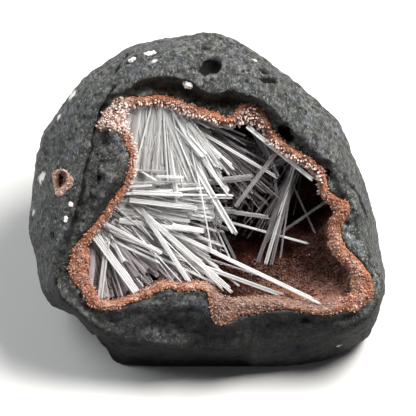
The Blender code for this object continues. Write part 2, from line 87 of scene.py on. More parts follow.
WALL_NEEDLES = (
    (-28, 10.3, 8, -8.3, 10.3, 9.5, 0.8, 0), (-28, 6, 8, -9, 4.7, 9.5, 1.3, 0),
    (-28, 4.7, 7, 8.3, 4.3, 7.5, 0.7, 0), (-30, 3, 7, -3.3, 0, 6, 1.7, 1),
    (-33.5, -5, 6, -1, -7.7, 5, 2.0, 1), (-29, 5, 9, -11.3, -6.3, 8, 1.7, 1),
    (-27.5, 3.5, 9, 8.3, -28, 10.5, 1.7, 0),
    (-28, 3, 8, 5.5, -27.5, 8.5, 0.9, 0), (-26, 3.5, 7, 10.5, -26, 8.5, 0.8, 0),
    (-30.5, 0.8, 8, 38, -31.8, 11.5, 1.4, 0), (-33, -8, 8, 27, -29.8, 9.5, 1.4, 0),
    (-33, -6, 5, 21.7, -24, 4.5, 0.7, 1), (-27, 7, 9, -6, -25, 10.5, 1.6, 0),
    (-35, -5, 9, -15.3, -15.3, 11.5, 1.6, 0), (-34.5, -8, 7, 2.7, -25.2, 9, 0.8, 0),
    (-33, -9.5, 6, -9.7, -24.5, 7, 1.6, 1), (-28, 6.5, 4, 15.7, 10.3, 3.5, 2.4, 1),
    (-28, 5, 4, 37.5, -13, 3, 0.7, 0), (-28, 3.5, 3, 20.7, -3.3, 2, 1.1, 1),
)
CORNER_NEEDLES = (
    (-38.5, -8, 9, -23, -29, 11, 2.6, 0), (-33.5, -11, 9, -36, -30.5, 10, 1.7, 0),
    (-33, -8.5, 8, -28, -18, 10, 1.3, 0), (-36, -9, 8, -16, -18.3, 9, 0.8, 0),
    (-37, -9.5, 6, -29.3, -27.3, 6.5, 1.2, 1), (-36, -8, 6, -25.5, -26, 6, 1.1, 1),
    (-36, -7.5, 6, -20, -24.5, 6.5, 1.1, 1), (-35, -7, 5, -14.5, -22, 5.5, 1.1, 1),
    (-38.5, -9.5, 7, -32.5, -26, 8, 1.3, 1),
)
RIM_NEEDLES = (
    (12.9, 27.2, 12.8, 34.9, 9.3, 12.2, 1.4, 0), (13.3, 28.7, 8, 20.7, 16, 6, 1.6, 1),
    (16, 27.5, 8.5, 23.6, 10.2, 8.8, 0.7, 1), (22, 21, 5, 38, -13.2, 3, 0.7, 1),
    (20.5, 22.5, 8, 23, 3.5, 5, 0.9, 1), (25, 21.5, 11, 9, 0.3, 9, 1.5, 1), (30, 18, 8, 16, 12, 6.5, 2.0, 1),
    (29.5, 17.5, 8, 15.8, -20, 2, 1.4, 1), (29.5, 17.5, 8, 18.6, -20.7, 2.5, 1.3, 0),
    (29.5, 17.5, 8, 20.8, -20, 3, 1.2, 1), (29, 17.5, 7, 24, -17, 4, 0.6, 1),
    (40, 2.6, 5, 22.8, -9.2, 3.1, 0.9, 1), (40.8, -13.4, 3, 18.8, -20.4, 2.7, 0.7, 0),
    (41.5, 0, 5, 36.8, -13.2, 3.1, 0.6, 1),
)
# Fans of broad blades and fine needles: root and its scatter, heading in the face and its scatter in
# degrees, rise out of the face for each millimetre along it and its scatter, shortest and longest length,
# narrowest and widest, how many, share clear, and dullest and brightest tone.
# The dull tones of fans deep in the hollow, in the corner and on the right are partly painted shade.
FANS = (
    ((-16, 34.4, 13.0), (9, 0.5, 0.5), -90, 30, -0.15, 0.010, 26, 33, 1.8, 3.4, 130, 0.0, 0.92, 1.0),
    ((-22, 33.6, 12.5), (4, 0.7, 0.5), -102, 16, -0.13, 0.010, 20, 27, 1.6, 3.0, 60, 0.0, 0.85, 0.98),
    ((-14, 34.6, 13.5), (7, 0.6, 0.5), -80, 26, -0.152, 0.015, 6, 28, 0.25, 0.6, 110, 0.1, 0.9, 1.0),
    ((-16, 34.4, 13.3), (8, 0.6, 0.5), -88, 28, -0.15, 0.015, 10, 32, 0.3, 0.8, 110, 0.1, 0.85, 1.0),
    ((-20, 34, 12.7), (6, 0.7, 0.6), -104, 16, -0.13, 0.02, 8, 26, 0.3, 0.8, 60, 0.2, 0.8, 0.95),
    ((-12, 34.2, 13), (4, 0.7, 0.7), -62, 10, -0.15, 0.025, 14, 34, 0.4, 1.0, 100, 0.1, 0.9, 1.0),
    ((-10, 33, 11), (5, 0.8, 0.8), -24, 7, -0.10, 0.03, 12, 24, 0.3, 0.9, 26, 0.2, 0.7, 1.0),
    ((-12, 33.5, 8), (5, 0.8, 2.0), -40, 12, -0.14, 0.08, 22, 46, 0.3, 0.8, 80, 0.6, 0.1, 0.38),
    ((-14, 33.5, 5), (5, 0.8, 2.0), -36, 14, -0.14, 0.08, 24, 46, 0.6, 1.3, 70, 0.8, 0.0, 0.28),
    ((-29.5, 4, 8.2), (1.2, 5, 0.6), -6, 8, 0.0, 0.010, 18, 32, 1.6, 2.8, 70, 0.0, 0.72, 0.92),
    ((-31, -0.5, 6.4), (1.5, 4.5, 0.7), -36, 13, 0.0, 0.015, 18, 36, 1.6, 2.8, 90, 0.1, 0.42, 0.66),
    ((-29.5, 6, 8.6), (1.2, 4, 1.0), -5, 11, 0.0, 0.025, 12, 30, 0.4, 1.3, 80, 0.3, 0.65, 1.0),
    ((-29.5, 2, 5), (1.5, 5, 3.0), -6, 18, -0.06, 0.12, 14, 40, 0.25, 0.9, 120, 0.4, 0.4, 0.7),
    ((-30, 1, 7), (2, 4.5, 1.6), -37, 12, -0.02, 0.05, 16, 40, 0.3, 0.9, 130, 0.35, 0.5, 0.95),
    ((-31, -1, 4), (2, 5, 2.0), -32, 22, -0.04, 0.05, 18, 34, 1.0, 2.0, 150, 0.4, 0.32, 0.58),
    ((-35.5, -7, 6.5), (3, 2.5, 1.2), -56, 20, 0.01, 0.04, 14, 25, 1.4, 3.0, 150, 0.3, 0.17, 0.34),
    ((-38.5, -9, 6), (1.5, 3, 1.2), -82, 11, 0.02, 0.04, 14, 24, 1.4, 2.8, 80, 0.35, 0.17, 0.34),
    ((-36, -8, 7.4), (2, 2, 1.5), -62, 22, 0.02, 0.06, 10, 26, 0.3, 0.8, 70, 0.5, 0.22, 0.48),
    ((-27, 10, -1), (2, 14, 3.0), -40, 35, -0.12, 0.12, 20, 38, 0.8, 1.8, 200, 0.5, 0.12, 0.42),
    ((20, 24, 5), (6, 4, 3.0), -112, 22, -0.16, 0.14, 10, 34, 0.25, 0.6, 40, 0.9, 0.0, 0.3),
    ((31, 17, 5), (3, 2, 3.0), -118, 14, -0.12, 0.14, 14, 36, 0.25, 0.6, 30, 0.9, 0.0, 0.3),
)
# Bright bars that lie across the crown spray, from the left wall.
BARS = (
    (-17, 10.6, 12.2, -8.0, 10.2, 12.4, 0.9, 0), (-26, 8.2, 11.6, -9.5, 8.9, 11.8, 0.6, 1),
    (-25, 5.3, 11.8, -8.5, 4.5, 12.3, 1.4, 0), (-27, 4.7, 11, 8.5, 4.1, 10.2, 0.8, 0),
    (-26, 2.6, 10.8, -3.5, -0.1, 11, 1.6, 0), (-27.5, 7.0, 11, -18.5, 7.5, 11.4, 0.7, 0),
    (-12, -6.0, 10.6, -1.2, -7.6, 10.4, 1.8, 0), (-27, 12.6, 11, -14, 12.2, 11.4, 0.6, 1),
    (-12.5, 30.3, 11.6, 9.3, 26.8, 9.7, 1.7, 0), (0, 8.6, 9.6, 14.9, 10.4, 9.2, 2.0, 1),
    (6, -1, 6.5, 20.6, -3.2, 5, 1.4, 1), (-3.6, 12, 12.6, 1.2, -14, 10.6, 0.6, 0),
    (-27, 15, 10.4, -17, 9, 12, 0.7, 0),
)
# The gas holes that the stone already has: u, v, half width, half height and turn in degrees.
GAS_HOLES = (
    (1.3, 47.3, 2.5, 2.5, 35), (19, 45.4, 1.7, 0.8, -20), (19.8, 42.8, 2.0, 0.95, 5),
    (-0.7, 53.3, 1.3, 0.6, -10), (25.8, 24.6, 3.0, 1.6, -45), (39, 11.5, 1.2, 1.0, 0),
)
# The mouth of the largest one is ragged, with a second lobe.
RAGGED_MOUTH = (-0.9, 45.9, 1.5, 1.7, 20)
# Narrow crevices in the stone's face, as (half width, depth, points along it) in millimetres.
CREVICES = (
    (0.45, 0.9, ((-31, 41), (-32.1, 38.9), (-35, 32.9), (-36.7, 26.5), (-38.2, 21.9), (-38.9, 17.6),
                 (-40.6, 12.9), (-41.2, 6.5), (-42.7, 1), (-45, -6))),
    (0.3, 0.5, ((-31, 44.8), (-28.4, 49), (-27, 51))),
    (0.35, 0.6, ((46.5, 9), (50.5, 4), (53, -3))),
)
# The ledge along the stone's front, below which it is cut back.
LEDGE = (
    (-44, -37), (-39.3, -41.7), (-29.3, -43.7), (-19.3, -45), (-6, -46.7), (12.3, -46), (16.7, -40.7),
    (18, -30),
)
LEDGE_STEP = 1.1
# Where the druse's upper left corner lies over the stone.
CORNER_CRUST = (
    (-36.5, 27.4), (-35, 31), (-32.3, 34.3), (-30.7, 36.7), (-27.7, 37), (-27.7, 26), (-31.7, 26),
    (-33.7, 25.6), (-36, 25.8),
)
# Grains in the stone's skin that are only colour: u, v and radius.
BLUE_SPOTS = ((30, -47.7, 3.6), (43.5, -47.3, 2.4), (-7.2, 40.2, 2.6), (-25.1, 50.0, 1.7))
WHITE_SPOTS = (
    (43.8, -46.4, 0.9), (41.8, -50.3, 0.6), (-49.7, 30.3, 1.1), (-55.8, 10, 2.0), (-17.8, 49, 0.9),
    (-45.4, 37.4, 2.4), (-58.8, -1.5, 1.1), (15.5, 49.3, 0.9),
)
# Painted shade of the small pores, which are only dots in the colour.
PORE_SHADE = (0.006, 0.006, 0.006)
LATH_WIDTH = 0.6                             # a broad needle is this wide a lath beside another
THICKEST = 0.9                               # no needle is thicker than this
LATH_STAGGER = 0.12                          # a lath stands in or out by this share of its needle's width
LATH_SHORTER = 0.05                          # a lath at the side may be this share of the length shorter
NEEDLE_TWIST = 0.35                          # a broad side may turn this far from the opening, in radians
NEEDLE_START = 3.5                           # a needle's first millimetres may lie in the crust it stands on
WALL_GAP = 0.25                              # it ends this far short of a wall, in mm
SHORTEST_NEEDLE = 5.0                        # and is left out if that makes it shorter than this
NEEDLE_SEED = 20
STUB = (4, 0.5, 0.46)                        # a small crystal's sides, shoulder height and half width, 1 tall
TOOTH = (4, 0.6, 0.28)                       # the same of the teeth along the top of the rim
FULL_TURN = 6.283
VUG_LOOKOUT = 1.12                           # the skin's slope at the vug is found from a point this far out


def to_world(points):
    """Face-frame millimetres as metres in the part's frame."""
    return (np.asarray(points, float) @ FACE_AXES + FACE_ORIGIN) * MM


def to_face(points):
    """Metres in the part's frame as face-frame millimetres."""
    return (np.asarray(points, float) / MM - FACE_ORIGIN) @ FACE_AXES.T


def placed(name, data):
    """A new object of the scene that holds this data."""
    made = bpy.data.objects.new(name, data)
    bpy.context.scene.collection.objects.link(made)
    return made


def add_camera():
    """The camera square to the broken face, far off with a long lens."""
    data = bpy.data.cameras.new("camera")
    data.sensor_width = SENSOR
    data.lens = SENSOR * CAMERA_DISTANCE / PICTURE_WIDTH
    data.clip_end = 20
    camera = placed("camera", data)
    out = Vector(FACE_AXES[2])
    camera.location = Vector(to_world((0, 0, 0))) + out * CAMERA_DISTANCE
    camera.rotation_euler = out.to_track_quat("Z", "Y").to_euler()
    bpy.context.scene.camera = camera


def add_area_light(name, place, aim, size, power, colour):
    data = bpy.data.lights.new(name, "AREA")
    data.size = size
    data.energy = power
    data.color = colour
    light = placed(name, data)
    light.location = place
    light.rotation_euler = (Vector(place) - Vector(aim)).to_track_quat("Z", "Y").to_euler()


def add_studio():
    """A soft key from above at the right, a wider and weaker fill from the left, and a pale floor."""
    middle = (0, 0, 0.04)
    add_area_light("key", (0.40, 0.12, 0.70), middle, size=0.38, power=15.0, colour=(1, 0.985, 0.965))
    add_area_light("fill", (-0.62, 0.22, 0.52), middle, size=0.7, power=7.0, colour=(0.95, 0.975, 1))
    world = bpy.data.worlds.new("studio")
    bpy.context.scene.world = world
    world.use_nodes = True
    background = world.node_tree.nodes["Background"]
    background.inputs["Color"].default_value = (0.92, 0.95, 1, 1)
    background.inputs["Strength"].default_value = 0.10
    bm = bmesh.new()
    bmesh.ops.create_grid(bm, x_segments=1, y_segments=1, size=4)
    floor = new_object("floor", bm)
    floor.data.materials.append(floor_paint())
    bpy.context.scene.view_settings.view_transform = "Standard"


def new_object(name, bm):
    mesh = bpy.data.meshes.new(name)
    bm.to_mesh(mesh)
    bm.free()
    return placed(name, mesh)


def evaluated_copy(obj, name):
    """The object as its modifiers make it, as a plain mesh of its own. The first object goes."""
    graph = bpy.context.evaluated_depsgraph_get()
    mesh = bpy.data.meshes.new_from_object(obj.evaluated_get(graph))
    mesh.name = name
    bpy.data.objects.remove(obj)
    return placed(name, mesh)


def put(tree, kind, inputs=None, **settings):
    """A node of this kind, with its settings, and its inputs set to values or linked from sockets."""
    made = tree.nodes.new(kind)
    for name, value in settings.items():
        setattr(made, name, value)
    for name, value in (inputs or {}).items():
        if isinstance(value, bpy.types.NodeSocket):
            tree.links.new(value, made.inputs[name])
        else:
            made.inputs[name].default_value = value
    return made


def new_material(name):
    """A material, its node tree and its Principled shader."""
    material = bpy.data.materials.new(name)
    material.use_nodes = True
    tree = material.node_tree
    return material, tree, tree.nodes["Principled BSDF"]


def set_inputs(shader, values):
    """The shader's named inputs set to plain values."""
    for name, value in values.items():
        shader.inputs[name].default_value = value


def add_bump(tree, shader, height, strength, distance):
    """Fine relief in the finish, from a height that is 1 at this distance in metres."""
    bump = put(tree, "ShaderNodeBump", {"Height": height, "Strength": strength, "Distance": distance})
    tree.links.new(bump.outputs["Normal"], shader.inputs["Normal"])


def ramp(tree, value, stops):
    """The value looked up in a ramp of (place, colour) stops."""
    made = put(tree, "ShaderNodeValToRGB", {"Fac": value})
    elements = made.color_ramp.elements
    while len(elements) < len(stops):
        elements.new(0.5)
    for element, (place, colour) in zip(elements, stops):
        element.position = place
        element.color = (*colour, 1) if len(colour) == 3 else colour
    return made.outputs["Color"]


def greys(tree, value, *stops):
    """The value looked up in a ramp of (place, brightness) stops."""
    return ramp(tree, value, [(place, (level,) * 3) for place, level in stops])


def mix(tree, share, first, second, blend="MIX"):
    """Two colours mixed. Each may be a socket or a colour."""
    made = put(tree, "ShaderNodeMix", data_type="RGBA", blend_type=blend)
    for socket, value in ((made.inputs[0], share), (made.inputs[6], first), (made.inputs[7], second)):
        if isinstance(value, bpy.types.NodeSocket):
            tree.links.new(value, socket)
        else:
            socket.default_value = (*value, 1) if isinstance(value, tuple) else value
    return made.outputs[2]


def tinted(tree, share, colour, factor):
    """The colour multiplied by this factor, as far as the share says."""
    return mix(tree, share, colour, mix(tree, 1.0, colour, factor, "MULTIPLY"))


def grains(tree, where, size, detail=2.0, roughness=0.5):
    """Noise whose grains are about this many millimetres across."""
    made = put(tree, "ShaderNodeTexNoise", {
        "Vector": where, "Scale": 1000 / size, "Detail": detail, "Roughness": roughness,
    })
    return made.outputs["Fac"]


def pores(tree, where, size, radius):
    """1 in round pores, one a cell of this many millimetres, and 0 between them."""
    cells = put(tree, "ShaderNodeTexVoronoi", {"Vector": where, "Scale": 1000 / size, "Randomness": 1.0})
    return greys(tree, cells.outputs["Distance"], (radius * 0.7, 1), (radius, 0))


def attribute(tree, name):
    return put(tree, "ShaderNodeAttribute", attribute_name=name).outputs["Fac"]


def floor_paint():
    material, _, shader = new_material("floor_paint")
    set_inputs(shader, {"Base Color": (0.60, 0.595, 0.58, 1), "Roughness": 0.85})
    return material


def basalt_finish():
    """Weathered grey-green basalt: streaked, speckled and pored, with painted shade in front, under the ledge
    and in pits, and painted light on two broken patches.
    """
    material, tree, shader = new_material("basalt_finish")
    where = put(tree, "ShaderNodeTexCoord").outputs["Object"]
    mottle = grains(tree, where, 2.6, 9, 0.82)
    stretched = put(tree, "ShaderNodeVectorMath", {0: where, 1: (1, 0.45, 1.3)}, operation="MULTIPLY")
    streaks = stretched.outputs["Vector"]
    specks = grains(tree, streaks, 0.8, 3, 0.65)
    colour = basalt_ground(tree, where, mottle, specks, grains(tree, streaks, 1.0, 3, 0.65))
    colour = basalt_marks(tree, colour)
    clusters = greys(tree, grains(tree, where, 11, 2), (0.42, 0), (0.55, 1))
    # Painted shade: black dots where the small pores are, with no dents of their own.
    holes = mix(tree, 1.0, pores(tree, where, 3.0, 0.26), clusters, "MULTIPLY")
    colour = mix(tree, holes, colour, PORE_SHADE)
    colour = mix(tree, pores(tree, where, 5.5, 0.12), colour, PORE_SHADE)
    # Painted shade: the pits, crevices and gas holes are near black.
    pit = attribute(tree, "pit")
    colour = mix(tree, pit, colour, (0.003, 0.003, 0.003))
    tree.links.new(colour, shader.inputs["Base Color"])
    rough = greys(tree, mottle, (0.3, 0.5), (0.7, 0.72))
    tree.links.new(mix(tree, pit, rough, (1, 1, 1)), shader.inputs["Roughness"])
    set_inputs(shader, {"Specular IOR Level": 0.28})
    add_bump(tree, shader, mix(tree, 0.35, mottle, specks), 1.0, 0.0013)
    return material


def basalt_ground(tree, where, mottle, light, dark):
    """The plain rock: grey-green with blue and rusty patches, mottled, with light and dark specks."""
    colour = ramp(tree, grains(tree, where, 18, 4, 0.6), (
        (0.32, (0.030, 0.033, 0.030)), (0.5, (0.045, 0.047, 0.044)), (0.68, (0.062, 0.063, 0.059)),
    ))
    blue = greys(tree, grains(tree, where, 6.5, 5, 0.65), (0.53, 0), (0.66, 0.75))
    colour = mix(tree, blue, colour, (0.062, 0.070, 0.088))
    rust = greys(tree, grains(tree, where, 3.5, 5, 0.7), (0.56, 0), (0.68, 0.75))
    colour = mix(tree, rust, colour, (0.072, 0.055, 0.036))
    shade = ramp(tree, mottle, ((0.38, (0.14, 0.14, 0.14)), (0.5, (1, 1, 1)), (0.62, (3.0, 3.0, 2.95))))
    colour = mix(tree, 1.0, colour, shade, "MULTIPLY")
    colour = mix(tree, greys(tree, light, (0.56, 0), (0.63, 0.85)), colour, (0.20, 0.21, 0.21))
    return mix(tree, greys(tree, dark, (0.36, 0.95), (0.43, 0)), colour, (0.010, 0.011, 0.0105))


def basalt_marks(tree, colour):
    """The rock's colour changed where its skin is marked: painted shade, painted light, the druse's stain and
    the spots.
    """
    # Painted shade on the faces that turn forward and down.
    colour = tinted(tree, attribute(tree, "front"), colour, (0.23, 0.23, 0.245))
    # Painted light, with a brown tint of the rock's own, on the broken scoop under the top rim, which the rim
    # shadows.
    colour = tinted(tree, attribute(tree, "scoop"), colour, (1.4, 1.25, 1.0))
    # Painted light on the broken band at the right beside the rim, which lies in the crease's shadow.
    colour = tinted(tree, attribute(tree, "pale_break"), colour, (2.7, 2.75, 2.6))
    colour = mix(tree, attribute(tree, "stain"), colour, (0.50, 0.34, 0.28))
    # Painted shade under the ledge.
    colour = tinted(tree, attribute(tree, "under"), colour, (0.2, 0.2, 0.22))
    colour = mix(tree, attribute(tree, "blue_spot"), colour, (0.003, 0.0035, 0.011))
    return mix(tree, attribute(tree, "white_spot"), colour, (0.74, 0.71, 0.66))


def druse_finish(name, whiteness=0.32):
    """Peach to orange crystal crust: rusty by the rock, whitish tips, dusky in places, brown and darkened
    with painted shade deep down.
    """
    material, tree, shader = new_material(name)
    where = put(tree, "ShaderNodeTexCoord").outputs["Object"]
    patches = grains(tree, where, 4.5, 4, 0.6)
    colour = ramp(tree, patches, (
        (0.32, (0.22, 0.075, 0.038)), (0.46, (0.32, 0.13, 0.075)),
        (0.58, (0.39, 0.20, 0.14)), (0.70, (0.49, 0.31, 0.24)),
    ))
    colour = mix(tree, attribute(tree, "dusky"), colour, (0.19, 0.115, 0.09))
    colour = mix(tree, attribute(tree, "rust"), colour, (0.36, 0.12, 0.045))
    colour = mix(tree, attribute(tree, "pale"), colour, (0.70, 0.52, 0.455))
    cells = put(tree, "ShaderNodeTexVoronoi", {"Vector": where, "Scale": 1000 / 0.75, "Randomness": 1.0})
    grain = put(tree, "ShaderNodeSeparateColor", {"Color": cells.outputs["Color"]}).outputs["Red"]
    sugar = ramp(tree, grain, (
        (0.0, (0.68, 0.62, 0.6)), (0.45, (0.95, 0.94, 0.93)),
        (0.85, (1.08, 1.1, 1.12)), (1.0, (1.7, 2.0, 2.15)),
    ))
    colour = mix(tree, 1.0, colour, sugar, "MULTIPLY")
    tip = greys(tree, attribute(tree, "tip"), (0.15, 0), (0.8, whiteness))
    colour = mix(tree, tip, colour, (0.80, 0.68, 0.63))
    # Where marked deep: the druse's own brown, darkened further with painted shade deep in the hollow and
    # between the rim's teeth.
    colour = tinted(tree, attribute(tree, "deep"), colour, (0.115, 0.045, 0.024))
    tree.links.new(colour, shader.inputs["Base Color"])
    set_inputs(shader, {
        "Roughness": 0.42, "Specular IOR Level": 0.26, "Subsurface Weight": 0.5,
        "Subsurface Radius": (1.0, 0.75, 0.65), "Subsurface Scale": 0.0006,
    })
    add_bump(tree, shader, cells.outputs["Distance"], 0.8, -0.0005)
    return material


def needle_finish(name, clearness, roughness):
    """Scolecite from dusky mauve grey to creamy white by its tone, which holds some painted shade, this clear
    from 0 to 1.
    """
    material, tree, shader = new_material(name)
    where = put(tree, "ShaderNodeTexCoord").outputs["Object"]
    tone = ramp(tree, attribute(tree, "tone"), (
        (0.0, (0.26, 0.212, 0.225)), (0.35, (0.55, 0.495, 0.51)),
        (0.7, (0.87, 0.85, 0.84)), (1.0, (0.985, 0.975, 0.955)),
    ))
    cloud = ramp(tree, grains(tree, where, 3.0, 2), ((0.35, (0.93, 0.92, 0.93)), (0.6, (1, 1, 1))))
    tree.links.new(mix(tree, 1.0, tone, cloud, "MULTIPLY"), shader.inputs["Base Color"])
    set_inputs(shader, {
        "Roughness": roughness, "IOR": 1.52, "Transmission Weight": clearness,
        "Subsurface Weight": 0.6, "Subsurface Radius": (1.0, 0.95, 0.95), "Subsurface Scale": 0.003,
    })
    return material


def white_filling():
    material, tree, shader = new_material("white_filling")
    where = put(tree, "ShaderNodeTexCoord").outputs["Object"]
    cloud = ramp(tree, grains(tree, where, 1.1, 4, 0.7), (
        (0.36, (0.30, 0.27, 0.25)), (0.5, (0.80, 0.77, 0.72)),
    ))
    tree.links.new(cloud, shader.inputs["Base Color"])
    set_inputs(shader, {"Roughness": 0.4})
    return material


def merged_copy(node, name):
    """A CAD node's mesh as a new object, with its loose triangles joined."""
    bm = bmesh.new()
    bm.from_mesh(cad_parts[node].data)
    bmesh.ops.remove_doubles(bm, verts=bm.verts, dist=1e-6)
    return new_object(name, bm)


def remeshed(obj, voxel):
    """The object's surface in small even squares of this many millimetres."""
    modifier = obj.modifiers.new("even", "REMESH")
    modifier.mode = "VOXEL"
    modifier.voxel_size = voxel * MM
    return evaluated_copy(obj, obj.name)


def tree_of(node):
    """A CAD node's surface, to find distances and hits."""
    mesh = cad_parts[node].data
    mesh.calc_loop_triangles()
    faces = [tuple(t.vertices) for t in mesh.loop_triangles]
    return BVHTree.FromPolygons([v.co for v in mesh.vertices], faces)


def points_of(mesh):
    flat = np.empty(len(mesh.vertices) * 3)
    mesh.vertices.foreach_get("co", flat)
    return flat.reshape(-1, 3)


def set_points(mesh, points):
    mesh.vertices.foreach_set("co", points.ravel())
    mesh.update()


def normals_of(mesh):
    flat = np.empty(len(mesh.vertices) * 3)
    mesh.vertices.foreach_get("normal", flat)
    return flat.reshape(-1, 3)


def smoothed(mesh, points, share, rounds):
    """Each point moved towards the mean of its neighbours, by its own share, several times over."""
    ends = np.empty(len(mesh.edges) * 2, int)
    mesh.edges.foreach_get("vertices", ends)
    a, b = ends.reshape(-1, 2).T
    count = np.bincount(np.concatenate((a, b)), minlength=len(points))
    for _ in range(rounds):
        total = np.empty_like(points)
        for axis in range(3):
            from_ends = np.bincount(a, points[b, axis], len(points))
            total[:, axis] = from_ends + np.bincount(b, points[a, axis], len(points))
        points = points + (total / count[:, None] - points) * share[:, None]
    return points


def eased(values, low, high):
    """0 below low, 1 above high, and a smooth rise between."""
    share = np.clip((values - low) / (high - low), 0, 1)
    return share * share * (3 - 2 * share)


def distances(tree, points):
    """Millimetres from each point to the surface."""
    return np.array([tree.find_nearest(Vector(p))[3] for p in points]) / MM


def rolling(points, size, octaves, offset=0.0):
    """Fractal noise at each point, of this size in millimetres."""
    shift = Vector((offset, offset, offset))
    scale = 1 / (size * MM)
    return np.array([noise.fractal(Vector(p) * scale + shift, 0.9, 2.0, octaves) for p in points])


def wander(face, size):
    """Smooth noise at each point, in lumps of this many millimetres."""
    return np.array([noise.noise(Vector(p) / size) for p in face])


def store(mesh, name, values):
    """A named number on each point of the mesh, in place of any that it has by that name."""
    made = mesh.attributes.get(name)
    if made is None:
        made = mesh.attributes.new(name, "FLOAT", "POINT")
    made.data.foreach_set("value", np.asarray(values, np.float32))


def store_vectors(mesh, name, values):
    """A named vector on each point of the mesh."""
    made = mesh.attributes.new(name, "FLOAT_VECTOR", "POINT")
    made.data.foreach_set("vector", np.array(values, np.float32).ravel())


def inside_outline(points, outline):
    """True for each (u, v) inside the outline."""
    found = np.zeros(len(points), bool)
    corners = np.array(outline, float)
    for start, end in zip(corners, np.roll(corners, -1, axis=0)):
        crosses = (start[1] > points[:, 1]) != (end[1] > points[:, 1])
        rise = (points[:, 1] - start[1]) / (end[1] - start[1] if end[1] != start[1] else 1e-9)
        found ^= crosses & (points[:, 0] < start[0] + rise * (end[0] - start[0]))
    return found


def sprinkled_pits(points, cell, share, smallest, largest):
    """How deep each point lies in a scatter of round pits, in mm, with at most one pit a cell."""
    depth = np.zeros(len(points))
    for index, point in enumerate(points):
        away, centres = noise.voronoi(Vector(point) / (cell * MM))
        chance = abs(noise.cell(centres[0] * 7.3)) % 1
        if chance > share:
            continue
        radius = smallest + (largest - smallest) * chance / share
        reach = 1 - away[0] * cell / radius
        if reach > 0:
            depth[index] = radius * min(1, reach * 1.6)
    return depth


def in_gas_holes(face, reach):
    """1 in the gas holes' mouths, fading to 0 at this many times their size."""
    value = np.zeros(len(face))
    ragged = wander(face, 1.6) * 0.35
    for u, v, width, height, turn in (*GAS_HOLES, RAGGED_MOUTH):
        cos, sin = math.cos(math.radians(turn)), math.sin(math.radians(turn))
        du, dv = face[:, 0] - u, face[:, 1] - v
        away = np.hypot((du * cos + dv * sin) / width, (dv * cos - du * sin) / height) + ragged
        value = np.maximum(value, (1 - eased(away, 0.95, reach)) * (face[:, 2] > -20))
    return value


def off_line(face, corners):
    """How far each point lies from a line through these corners, as seen from the front, in mm."""
    best = np.full(len(face), 1e9)
    for start, end in zip(corners[:-1], corners[1:]):
        a, run = np.array(start, float), np.subtract(end, start)
        share = np.clip(((face[:, :2] - a) @ run) / (run @ run), 0, 1)
        best = np.minimum(best, np.hypot(*(face[:, :2] - a - share[:, None] * run).T))
    return best


def in_crevices(face):
    """How deep each point lies in a crevice, in mm, with ragged sides."""
    depth = np.zeros(len(face))
    ragged = wander(face, 2.3) * 0.35
    for half, deepest, corners in CREVICES:
        away = off_line(face, corners) + ragged
        depth = np.maximum(depth, deepest * (1 - eased(away, half * 0.4, half * 1.5)))
    return depth * (face[:, 2] > -15)


def under_ledge(face):
    """1 on the stone's front under its ledge, and 0 elsewhere."""
    u, v = np.array(LEDGE, float)[:-1].T
    line = np.interp(face[:, 0], u, v)
    ragged = wander(face, 3.1) * 0.5
    ends = eased(face[:, 0], -45, -38) * (1 - eased(face[:, 0], 12, 16))
    return eased(line + ragged - face[:, 1], 0, 0.9) * ends * (face[:, 2] > -40)


def build_rock(lining, grow):
    """The weathered stone: an even fine skin over the CAD stone, rolled, pitted and rough where it broke."""
    rock = remeshed(merged_copy("basalt_nodule", "rock_skin"), SKIN_VOXEL)
    mesh = rock.data
    points = points_of(mesh)
    near_lining = distances(lining, points)
    face = to_face(points)
    broken = inside_outline(face[:, :2], CREASE_OUTLINE) & (face[:, 2] > -2)
    holes = in_gas_holes(face, 1.15)
    open_skin = eased(near_lining, 0.6, 3.0) * eased(points[:, 2] / MM, 0.3, 2.5) * (1 - holes)
    points = smoothed(mesh, points, 0.5 * open_skin * np.where(broken, 0.6, 1.0), 6)
    set_points(mesh, points)
    normals = normals_of(mesh)
    skin_roll = 0.35 * rolling(points, 17, 3) + 0.5 * rolling(points, 4, 5, 5.1)
    broken_roll = 0.9 * rolling(points, 8, 5, 2.2) + 0.8 * rolling(points, 3, 4, 9.4)
    roll = np.where(broken, broken_roll, skin_roll)
    pits = sprinkled_pits(points, 7, 0.3, 0.4, 1.4) + sprinkled_pits(points, 3.2, 0.3, 0.3, 0.7)
    ledge = under_ledge(face)
    corner = inside_outline(face[:, :2], CORNER_CRUST) & (face[:, 2] > 5)
    stain = smoothed_values(mesh, corner.astype(float), 2)
    crevices = in_crevices(face) * (1 - stain)
    cut_back = (pits + crevices + ledge * LEDGE_STEP) * open_skin + holes * 1.2
    points = points + normals * ((roll * open_skin - cut_back + 0.35 * stain) * MM)[:, None]
    points[:, 2] = np.maximum(points[:, 2], 0)
    set_points(mesh, points)
    mark_skin(mesh, face, normals, broken, stain, ledge, np.maximum(pits, crevices))
    mesh.shade_smooth()
    mesh.materials.append(basalt_finish())
    grow_corner(rock, stain, grow)
    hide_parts("basalt_nodule")
    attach(rock, "root")


